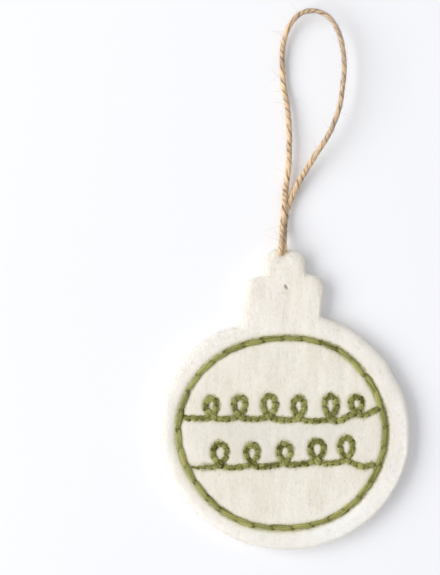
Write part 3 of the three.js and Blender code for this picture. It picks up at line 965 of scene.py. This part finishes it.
def lint_and_shade(points):
    """Share of the green tint over plan points, which is cotton lint and painted shade from the stitches: a
    bell across the ring and one across the curls, and a little everywhere inside the ring."""
    ring_away, curl_away = stitches_away(points)
    inner = INNER_LINT_AND_SHADE * (outside_ring(points) < 0) * fade(ring_away, 0, INNER_LINT_AND_SHADE_START)
    return inner + bell(ring_away, *RING_LINT_AND_SHADE) + bell(curl_away, *CURL_LINT_AND_SHADE)


def paleness(points):
    """Share of a paler tone over plan points: it grows outwards from the ring, and fades out at the neck."""
    growth = fade(outside_ring(points), *PALE_GROWTH)
    return PALE_MOST * growth * fade(points[:, 1] - DISC_Y, *PALE_FADE)


def slump(points, inside):
    """How far the felt slopes down towards its left edge: slump * exp(-distance from the edge / reach),
    fading out across the middle as (1 - tanh(x / fade)) / 2."""
    return SLUMP * np.exp(-inside / SLUMP_REACH) * (1 - np.tanh(points[:, 0] / SLUMP_FADE)) / 2


def front_relief(settings):
    """Height of the front over plan points: soft swells, less the slump, and less a bell for the groove along
    every line of stitches, the dent where the twine goes in and the pit at the needle hole."""

    def height(points, inside):
        swell = waves_over(points, FRONT_SWELL, FRONT_SWELL_SEED) * fade(inside, 0, SWELL_EDGE)
        ring_away, curl_away = stitches_away(points)
        entry_away = np.linalg.norm((points - TWINE_ENTRY) / ENTRY_HALF, axis=1)
        hole_away = np.linalg.norm(points - NEEDLE_HOLE, axis=1)
        groove = settings.groove / MM
        return (
            settings.swell / MM * swell
            - slump(points, inside)
            - bell(ring_away, groove, RING_GROOVE_REACH)
            - bell(curl_away, CURL_GROOVE_SHARE * groove, CURL_GROOVE_REACH)
            - bell(entry_away, *ENTRY_DENT)
            - bell(hole_away, *HOLE_DENT)
        )

    return height


def back_relief(settings):
    """Height of the back over plan points: soft swells only, drawn in so that it lies on the table."""

    def height(points, inside):
        swell = BACK_SWELL_SHARE * (waves_over(points, BACK_SWELL, BACK_SWELL_SEED) - BACK_SWELL_IN)
        return settings.swell / MM * swell * fade(inside, 0, SWELL_EDGE)

    return height


def fuzz_tubes(base, heading, length, lift, radius, rng):
    """Loose fibres as three-sided tubes of three rings: each runs from its base along its heading, swings to
    a side and rises by its lift, as base + heading*t + side*t^2 + lift*t*(1.3 - t), stays above the table and
    tapers to its tip."""
    count = len(base)
    t = np.linspace(0, 1, 3)[None, :, None]
    swing = np.cross(heading, UP) * rng.normal(0, 0.4, (count, 1))
    paths = (
        base[:, None] + length[:, None, None] * (heading[:, None] * t + swing[:, None] * t**2)
        + lift[:, None, None] * t * (1.3 - t) * UP
    )
    paths[..., 2] = np.maximum(paths[..., 2], WOOL_OVER_TABLE + 0.02 * t[..., 0])
    taper = radius * np.array([0.9, 1.0, 0.3])
    side = unit(np.cross(heading, UP + 0.01))[:, None, :]
    return round_tubes(paths, side, np.broadcast_to(taper, (count, 3)), 3)


def face_fuzz(outline, relief, count, seed):
    """Fibres that lie on the front, most of them along the streaks."""
    rng = np.random.default_rng(seed)
    low, high = outline.min(0), outline.max(0)
    plan = rng.uniform(low, high, (3 * count, 2))
    to_edge = plan - FELT_POLE
    edge = outline - FELT_POLE
    order = np.argsort(np.arctan2(edge[:, 1], edge[:, 0]))
    bearing = np.arctan2(edge[order, 1], edge[order, 0])
    reach = np.linalg.norm(edge[order], axis=1)
    limit = np.interp(np.arctan2(to_edge[:, 1], to_edge[:, 0]), bearing, reach, period=2 * np.pi)
    plan = plan[np.linalg.norm(to_edge, axis=1) < limit - FACE_FUZZ_INSET][:count]
    height = FACE_Z + relief(plan, distance_to(plan, outline[::4], True)) - 0.03
    turn = np.pi / 2 + rng.normal(0, 0.5, len(plan)) + np.pi * rng.integers(0, 2, len(plan))
    heading = np.column_stack([np.cos(turn), np.sin(turn), np.zeros(len(plan))])
    length = rng.uniform(0.9, 2.8, len(plan))
    lift = rng.uniform(0.05, 0.45, len(plan))
    return fuzz_tubes(np.column_stack([plan, height]), heading, length, lift, FACE_FIBRE, rng)


def rim_fuzz(outline, rim, count, seed):
    """Fibres that stand out from the cut edge. Most start on the front's rounded rim, more of them towards
    its edge, and the rest on the wall of both layers."""
    rng = np.random.default_rng(seed)
    which = rng.integers(0, len(outline), count)
    normal = outward(outline)[which]
    inset = 0.1 + RIM_FUZZ_INSET * rng.uniform(0, 1, count) ** 2
    plan = outline[which] - normal * inset[:, None]
    height = rounded_face(inset, rim[which], FACE_Z, SEAM_Z) - slump(plan, inset) - 0.05
    on_wall = rng.uniform(0, 1, count) > RIM_FUZZ_SHARE
    plan[on_wall] = outline[which[on_wall]] - 0.15 * normal[on_wall]
    height[on_wall] = rng.uniform(BACK_Z + 0.5, edge_height(FACE_Z, SEAM_Z), on_wall.sum())
    steep = np.where(on_wall, 0, 0.3)
    heading = np.column_stack([normal + rng.normal(0, 0.8, (count, 2)), rng.normal(0, 0.3, count) + steep])
    length = 0.3 + rng.gamma(2.0, 0.26, count)
    lift = rng.normal(0, 0.12, count)
    return fuzz_tubes(np.column_stack([plan, height]), unit(heading), length, lift, RIM_FIBRE, rng)


def floss_fuzz(line, width, count, rng):
    """Loose cotton on the stitches along a line, but for its start: fibres that begin in a strip one and a
    half times as wide as the stitches and lie along or across them."""
    distance = rng.uniform(COTTON_START, run_of(line)[-1] - 0.5, count)
    way = unit(along(line, distance + 0.2) - along(line, distance - 0.2))
    right = np.column_stack([way[:, 1], -way[:, 0]])
    beside = rng.uniform(-0.75, 0.75, (count, 1))
    plan = along(line, distance) + width * beside * right
    height = FACE_Z - 0.1 + 0.35 * np.maximum(1 - (2 * beside) ** 2, 0)
    heading = rng.choice([-1.0, 1.0], (count, 1)) * way + rng.normal(0, 1.5, (count, 1)) * right
    heading = np.column_stack([unit(heading), np.zeros(count)])
    length = rng.uniform(0.3, 1.1, count)
    lift = rng.uniform(0, 0.5, count)
    return fuzz_tubes(np.column_stack([plan, height]), heading, length, lift, COTTON_FIBRE, rng)


def floss_stitches(line, begin, finish, lay, lift, width, strands, shading, rng):
    """Stitches of floss along a line, each from one distance to another. The lay is a slant and a bend: a
    stitch goes from the line's left to its right by the slant, and lies between its chord and the line by the
    bend. Every strand runs beside the stitch's middle line, turning slowly round it on an ellipse, and its
    height is the face's plus lift times 1 - |u|^6, less a dive into the felt, where u goes from -1 to 1 along
    the stitch. The shading is a tone, a crest and a depth: a strand's shade is the tone, give or take, plus
    the crest times its height over the middle, less the depth times |u|^5. The depth term is painted shade
    where the stitch goes into the felt, and the crest term is a painted highlight on the ring's top strands
    and a darker middle on the curls. Returns the surface and each vertex's shade."""
    slant, bend = lay
    tone, crest, depth = shading
    count = len(begin)
    stations, sides = 13, 6
    u = -np.cos(np.linspace(0, np.pi, stations))
    share = (u + 1) / 2
    crown = 1 - np.abs(u) ** 6
    distance = begin[:, None] + (finish - begin)[:, None] * share

    def right_of(way):
        return unit(np.stack([way[..., 1], -way[..., 0]], axis=-1))

    stray = rng.normal(0, STITCH_STRAY, (count, 2, 1))
    share = share[:, None]
    beside = slant * (2 * share - 1) + stray[:, :1] * (1 - share) + stray[:, 1:] * share
    way = along(line, distance + 0.3) - along(line, distance - 0.3)
    curved = along(line, distance) + beside * right_of(way)
    chord = curved[:, :1] + share * (curved[:, -1:] - curved[:, :1])
    middle = chord + bend * (curved - chord)
    across = right_of(np.gradient(middle, axis=1))
    first = 2 * np.pi * np.arange(strands)[:, None] / strands + rng.uniform(0, 2 * np.pi, (count, 1, 1))
    angle = first + STRAND_TURN * u
    thick = width[:, None, None] / 2
    radius = STRAND_RADIUS * thick * rng.uniform(0.9, 1.12, (count, strands, 1)) * (0.7 + 0.3 * crown)
    sideways = STRAND_SPREAD * thick * (1 - 0.6 * np.abs(u) ** 3) * np.cos(angle)
    upward = STRAND_RISE * thick * (0.6 + 0.4 * crown) * np.sin(angle)
    plan = middle[:, None] + sideways[..., None] * across[:, None]
    height = FACE_Z + lift[:, None, None] * crown - STITCH_DIVE * (1 - crown) + upward
    paths = lifted(plan, height).reshape(count * strands, stations, 3)
    side = np.repeat(lifted(across, 0), strands, axis=0)
    surface = round_tubes(paths, side, radius.reshape(-1, stations), sides)
    own = rng.normal(tone, STRAND_TONES, (count, strands, 1)) + rng.normal(0, STITCH_TONES, (count, 1, 1))
    # Painted shade by the depth where a strand goes into the felt, and by the crest a painted highlight on
    # the ring's top strands and a darker middle on the curls.
    shade = (own - depth * np.abs(u) ** 5 + crest * upward / thick).reshape(-1, stations)
    rings = np.repeat(shade, sides, axis=1)
    poles = shade[:, [0, -1]]
    return surface, np.concatenate([rings.ravel(), poles.ravel()])


def with_fuzz(stitches, line, width, density, rng):
    """Stitches and their shades, with loose cotton added to both."""
    surface, shade = stitches
    fuzz = floss_fuzz(line, width, round(density * run_of(line)[-1] / 10), rng)
    return join(surface, fuzz), np.concatenate([shade, np.full(len(fuzz.vertices), FUZZ_SHADE)])


def ring_stitches(settings, seed):
    """Stem stitches round the ring: each comes up on the inner side and goes down on the outer side, past the
    start of the next one."""
    rng = np.random.default_rng(seed)
    line = ring_line()
    length = run_of(ellipse_arc(RING_CENTRE, RING_HALF, 0, 2 * np.pi, 1000))[-1]
    count = round(length / RING_STITCH)
    begin = RING_LAP * length + np.arange(count) * length / count + rng.normal(0, 0.3, count)
    finish = begin + length / count + RING_OVERLAP + rng.normal(0, 0.3, count)
    width = settings.ring_width / MM * rng.uniform(0.8, 1.2, count)
    lift = np.full(count, RING_LIFT)
    stitches = floss_stitches(
        line, begin, finish, RING_LAY, lift, width, settings.strands, RING_SHADING, rng
    )
    return with_fuzz(stitches, line, settings.ring_width / MM, RING_FUZZ_SHARE * settings.fuzz, rng)


def curl_stitches(curls, ends, thin, settings, seed):
    """Short stem stitches along a row of curls. A stitch that passes over an earlier one is lifted by it, and
    a given number of stitches at the row's start are thin."""
    rng = np.random.default_rng(seed)
    line = curl_line(curls, ends)
    length = run_of(line)[-1]
    count = round(length / CURL_STITCH)
    begin = np.arange(count) * length / count + rng.normal(0, 0.15, count)
    finish = np.clip(begin + length / count + CURL_OVERLAP, 0, length)
    begin = np.clip(begin, 0, length)
    middle = along(line, (begin + finish) / 2)
    apart = np.linalg.norm(middle[:, None] - middle[None], axis=2)
    number = np.arange(count)
    apart[number[:, None] - number[None] < CROSSING_BACK] = FAR
    lift = CURL_LIFT + bell(apart.min(1), CROSSING_LIFT, CROSSING_REACH)
    width = settings.curl_width / MM * rng.uniform(0.85, 1.15, count)
    width[:thin] *= np.linspace(*THIN_START, thin)
    stitches = floss_stitches(
        line, begin, finish, CURL_LAY, lift, width, settings.strands, CURL_SHADING, rng
    )
    return with_fuzz(stitches, line, settings.curl_width / MM, settings.fuzz, rng)


def twine_path():
    """The twine from its left end between the layers, up through the front, round the loop and back in at the
    right. Near the hinge its legs are pressed together: x is drawn in, the left leg is raised and the right
    one lowered. Both legs go in nearer to the edge than the solids' do, by a bell, and come down sooner, by a
    share of their height. Further on the right one springs up, smoothed by a running mean."""
    scale = np.array([1, 1, HINGE[2] - REST_Z])
    loop = LOOP_POINTS * scale + (HINGE[0], HINGE[1], REST_Z)

    def tail(side):
        x = HINGE[0] + side * LEG_SPACING / 2
        inner = NEEDLE_HOLE[0] + side * TAIL_SPACING / 2
        return np.array([
            (x, HINGE[1] - 0.55 * TAIL_REACH, HINGE[2] - 0.85 * TAIL_REACH),
            (x, HINGE[1] - 1.7, SEAM_Z + 1.6),
            (x + 0.1, HINGE[1] - 3.6, SEAM_Z + 0.35),
            (inner - 0.6, HINGE[1] - 6.5, SEAM_Z),
            (inner, NEEDLE_HOLE[1] - TAIL_PAST_HOLE, SEAM_Z),
        ])

    line = spline(np.vstack([tail(-1)[::-1], loop, tail(1)]), 24)
    line = along(line, np.arange(0, run_of(line)[-1], TWINE_STEP))
    out = line[:, 1] - HINGE[1]
    close = np.clip(1 - np.abs(out) / NECK_REACH, 0, 1)
    near = close**2 * (3 - 2 * close)
    hand = np.where(np.arange(len(line)) < len(line) / 2, 1.0, -1.0)
    line[:, 0] = HINGE[0] + (line[:, 0] - HINGE[0]) * (1 - LEG_PINCH * near)
    line[:, 1] += bell(out - ENTRY_PLACE, ENTRY_SHIFT - ENTRY_DIFFERENCE * hand, ENTRY_SPREAD)
    line[:, 2] -= np.interp(out, SUNK_PLACES, SUNK) * np.maximum(line[:, 2] - REST_Z, 0)
    springing = np.interp(np.linspace(0, 1, len(line)), RUN_SHARES, RAISED)
    window = 2 * SPRING_MEAN + 1
    springing = np.convolve(np.pad(springing, SPRING_MEAN, "edge"), np.full(window, 1 / window), "valid")
    line[:, 2] += LEG_RAISE * hand * near + springing
    return line


def path_frame(path):
    """The direction of a path at each point, and the level and the raised direction square to it."""
    way = unit(np.gradient(path, axis=0))
    side = unit(np.cross(way, UP))
    return way, side, np.cross(side, way)


def twine_plies(path, settings, seed):
    """Two plies pressed into each other. A ply's section is an ellipse, deeper inside than outside, whose
    middle lies off the path and turns once in the twine's lay, give or take, and its thickness strays along
    its length. Returns the surface and how much painted shade each vertex takes in the crease between the
    plies."""
    rng = np.random.default_rng(seed)
    sides = 18
    radius = settings.diameter / MM / 2
    _, side, rise = path_frame(path)
    run = run_of(path)
    lag = np.cos(run[:, None] * rng.uniform(0.06, 0.5, 8) + rng.uniform(*PHASES, 8)).sum(1)
    turn = 2 * np.pi * run / (settings.lay / MM) + LAY_STRAY * lag
    fullness = np.interp(run / run[-1], RUN_SHARES, FULLNESS)
    phi = np.pi + 2 * np.pi * np.arange(sides) / sides
    reach = np.where(np.cos(phi) > 0, PLY_OUTER, PLY_INNER)
    rings, crease_shades = [], []
    for ply in range(2):
        angle = turn + ply * np.pi
        out = turned_to(angle, side, rise)
        across = turned_to(angle, rise, -side)
        waves = np.cos(run[:, None] * rng.uniform(0.3, 2.2, 12) + rng.uniform(*PHASES, 12))
        fat = (radius * fullness * (1 + PLY_STRAY * waves.sum(1) / 12**0.5))[:, None]
        ridge = 1 + RIB_HEIGHT * np.cos(PLY_RIBS * phi + 0.8 * run[:, None] + rng.uniform(*PHASES))
        off = PLY_MIDDLE * fat + reach * fat * np.cos(phi) * ridge
        wide = PLY_SIDE * fat * np.sin(phi) * ridge
        rings.append(path[:, None] + off[..., None] * out[:, None] + wide[..., None] * across[:, None])
        # Painted shade in the crease, strongest on the inner side of the ply.
        crease_shades.append(np.broadcast_to(0.85 * np.clip(0.25 - 0.8 * np.cos(phi), 0, 1), off.shape))
    surface = closed_tubes(np.stack(rings))
    crease_shade = np.concatenate([np.stack(crease_shades).ravel(), np.ones(4)])
    return surface, crease_shade


def twine_fibres(path, count, strays, diameter, seed):
    """Loose jute: fibres that lie along the twine and lift off at one end, as radius + lift * t^3 from the
    path, and stray hairs that leave it sideways in a curve, as base + heading * t + curl * t^2, kept above
    the table."""
    rng = np.random.default_rng(seed)
    way, side, rise = path_frame(path)
    run = run_of(path)
    columns = np.column_stack([path, way, side, rise]).T

    def at(distance):
        found = np.stack([np.interp(distance, run, column) for column in columns], axis=-1)
        return np.split(found, 4, axis=-1)

    start = rng.uniform(BARE_ENDS, run[-1] - BARE_ENDS - 8, count)
    length = rng.uniform(2.5, 7.5, count)
    t = np.linspace(0, 1, 6)
    t = np.where(rng.integers(0, 2, (count, 1)) > 0, t, 1 - t)
    place = start[:, None] + length[:, None] * np.linspace(0, 1, 6)
    here, _, level, raised = at(place)
    angle = rng.uniform(0, 2 * np.pi, (count, 1)) + 0.35 * (place - start[:, None])
    reach = diameter / 2 * 0.97 + rng.gamma(1.5, 0.22, (count, 1)) * t**3
    close = here + reach[..., None] * turned_to(angle, level, raised)

    start = rng.uniform(BARE_ENDS + 4, run[-1] - BARE_ENDS - 4, strays)
    here, ahead, level, raised = at(start)
    heading = rng.choice([-1.0, 1.0], (strays, 1)) * level + rng.normal(0, 0.9, (strays, 1)) * ahead
    heading = unit(heading + rng.uniform(-0.1, 0.5, (strays, 1)) * raised)
    curl = np.cross(heading, UP) * rng.normal(0, 0.5, (strays, 1)) - UP * rng.uniform(0, 0.35, (strays, 1))
    length = rng.uniform(1.5, 6.5, strays)[:, None, None]
    t = np.linspace(0, 1, 6)[None, :, None]
    free = here[:, None] + length * (heading[:, None] * t + curl[:, None] * t**2)
    paths = np.concatenate([close, free])
    paths[..., 2] = np.maximum(paths[..., 2], JUTE_OVER_TABLE)
    across = unit(np.cross(paths[:, -1] - paths[:, 0], UP + 0.013))[:, None, :]
    taper = JUTE_FIBRE * np.array([0.6, 1, 1, 0.95, 0.8, 0.35])
    return round_tubes(paths, across, np.broadcast_to(taper, paths.shape[:2]), 3)


# Operators


class ORNAMENT_OT_stage(bpy.types.Operator):
    """Make the table, the window light, the room's light and the camera."""

    bl_idname = "ornament.stage"
    bl_label = "Stage"

    def execute(self, context):
        settings = context.scene.ornament.stage
        self.camera(context, settings)
        self.table(settings)
        self.lights(context, settings)
        context.scene.view_settings.view_transform = "Standard"
        return {"FINISHED"}

    def camera(self, context, settings):
        lens = bpy.data.cameras.new("camera")
        lens.sensor_width = SENSOR
        lens.lens = SENSOR * settings.camera_height / (PICTURE_HEIGHT * MM)
        camera = bpy.data.objects.new("camera", lens)
        camera.location = (*(PICTURE_CENTRE * MM), FACE_Z * MM + settings.camera_height)
        context.scene.collection.objects.link(camera)
        context.scene.camera = camera

    def table(self, settings):
        corners = TABLE_HALF * np.array([(-1, -1, 0), (1, -1, 0), (1, 1, 0), (-1, 1, 0)]) - (0, 0, TABLE_DROP)
        surface = Surface(corners, np.array([[0, 1, 2, 3]]), np.zeros((0, 3), int))
        shader = Shader("table", 0.9, specular=0.1)
        darker = tuple(TABLE_SHADE * c for c in settings.floor)
        shader.colour(shader.mix(shader.speckle(3, 2), settings.floor, darker))
        mesh_object("table", surface, shader.material)

    def lights(self, context, settings):
        window = bpy.data.lights.new("window", "AREA")
        window.shape = "RECTANGLE"
        window.size, window.size_y = WINDOW_SIZE
        window.energy = settings.key_power
        lamp = bpy.data.objects.new("window", window)
        heading = unit(WINDOW_HEADING)
        lamp.location = heading * WINDOW_AWAY
        lamp.rotation_mode = "QUATERNION"
        lamp.rotation_quaternion = Vector(heading).to_track_quat("Z", "Y")
        context.scene.collection.objects.link(lamp)
        world = bpy.data.worlds.new("room")
        world.use_nodes = True
        light = next(n for n in world.node_tree.nodes if n.type == "BACKGROUND")
        light.inputs["Color"].default_value = (*ROOM_COLOUR, 1)
        light.inputs["Strength"].default_value = settings.fill
        context.scene.world = world


class ORNAMENT_OT_twine(bpy.types.Operator):
    """Make the hanging twine with its loose fibres."""

    bl_idname = "ornament.twine"
    bl_label = "Hanging twine"

    def execute(self, context):
        settings = context.scene.ornament.twine
        path = twine_path()
        surface, crease_shade = twine_plies(path, settings, PLY_SEED)
        twine = mesh_object("hanging_twine", surface, jute_twine(settings), {"crease_shade": crease_shade})
        diameter = settings.diameter / MM
        loose = twine_fibres(path, settings.loose_fibres, settings.stray_hairs, diameter, HAIR_SEED)
        hairs = mesh_object("twine_hairs", loose, jute_hair(settings))
        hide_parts("hanging_loop", "twine_tail_left", "twine_tail_right")
        for piece in (twine, hairs):
            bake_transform(piece)
        return {"FINISHED"}


class ORNAMENT_OT_felt(bpy.types.Operator):
    """Make the two felt layers with their loose fibres."""

    bl_idname = "ornament.felt"
    bl_label = "Felt layers"

    def execute(self, context):
        settings = context.scene.ornament.felt
        front_edge = felt_outline(FRONT_COLUMNS, settings.waver / MM, FRONT_SEED)
        back_edge = felt_outline(BACK_COLUMNS, settings.waver / MM, BACK_SEED)
        front_rim = rim_round(front_edge, settings.rim / MM)
        back_rim = BACK_RIM_SHARE * rim_round(back_edge, settings.rim / MM)
        relief = front_relief(settings)
        front_surface = felt_layer(front_edge, front_rim, FACE_Z, SEAM_Z + SEAM_GAP, relief)
        back_surface = felt_layer(back_edge, back_rim, BACK_Z, SEAM_Z - SEAM_GAP, back_relief(settings))
        plan = front_surface.vertices[:, :2]
        tones = {"lint_and_shade": lint_and_shade(plan), "pale": paleness(plan)}
        front = mesh_object("front_felt_layer", front_surface, wool_felt(settings, True), tones)
        back = mesh_object("back_felt_layer", back_surface, wool_felt(settings, False))
        fibre = wool_fibre(settings)
        face_fibres = face_fuzz(front_edge, relief, settings.face_fibres, FACE_FUZZ_SEED)
        on_face = mesh_object("face_fuzz", face_fibres, fibre)
        rim_fibres = rim_fuzz(front_edge, front_rim, settings.rim_fibres, RIM_FUZZ_SEED)
        on_rim = mesh_object("rim_fuzz", rim_fibres, fibre)
        for piece in (front, back, on_face, on_rim):
            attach(piece, "felt_body")
        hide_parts("front_felt")
        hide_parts("back_felt")
        self.declare(front, front_edge, ["back_felt_layer"], [on_face])
        self.declare(back, back_edge, [], [on_rim])
        return {"FINISHED"}

    def declare(self, piece, edge, rests_on, fuzz):
        """Does nothing. A layer was cut from a sheet of felt as wide and as long as its outline."""


class ORNAMENT_OT_stitching(bpy.types.Operator):
    """Make the ring and the two rows of curls in floss."""

    bl_idname = "ornament.stitching"
    bl_label = "Stitching"

    def execute(self, context):
        settings = context.scene.ornament.thread
        floss = cotton_floss(settings)
        threads = {
            "outline_thread": ring_stitches(settings, RING_SEED),
            "upper_curl_thread": curl_stitches(UPPER_CURLS, UPPER_ENDS, 0, settings, UPPER_SEED),
            "lower_curl_thread": curl_stitches(LOWER_CURLS, LOWER_ENDS, 4, settings, LOWER_SEED),
        }
        for node, (surface, shade) in threads.items():
            piece = mesh_object(node.replace("thread", "stitches"), surface, floss, {"shade": shade})
            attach(piece, "felt_body")
            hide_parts(node)
        return {"FINISHED"}


class ORNAMENT_PT_panel(bpy.types.Panel):
    """Lists the steps and the settings of the ornament."""

    bl_idname = "ORNAMENT_PT_panel"
    bl_label = "Felt Ornament"
    bl_space_type = "VIEW_3D"
    bl_region_type = "UI"
    bl_category = "Ornament"

    def draw(self, context):
        for step in STEPS:
            self.layout.operator(step.bl_idname)
        for part in ("stage", "twine", "felt", "thread"):
            group = getattr(context.scene.ornament, part)
            box = self.layout.box()
            for name in group.__annotations__:
                box.prop(group, name)


STEPS = (ORNAMENT_OT_stage, ORNAMENT_OT_twine, ORNAMENT_OT_felt, ORNAMENT_OT_stitching)
GROUPS = (FeltSettings, ThreadSettings, TwineSettings, StageSettings, OrnamentSettings)
CLASSES = (*GROUPS, *STEPS, ORNAMENT_PT_panel)


def register():
    for made in CLASSES:
        bpy.utils.register_class(made)
    bpy.types.Scene.ornament = PointerProperty(type=OrnamentSettings)


def unregister():
    del bpy.types.Scene.ornament
    for made in reversed(CLASSES):
        bpy.utils.unregister_class(made)


def main():
    register()
    bpy.ops.ornament.stage()
    bpy.ops.ornament.twine()
    bpy.ops.ornament.felt()
    bpy.ops.ornament.stitching()


if __name__ == "__main__":
    main()
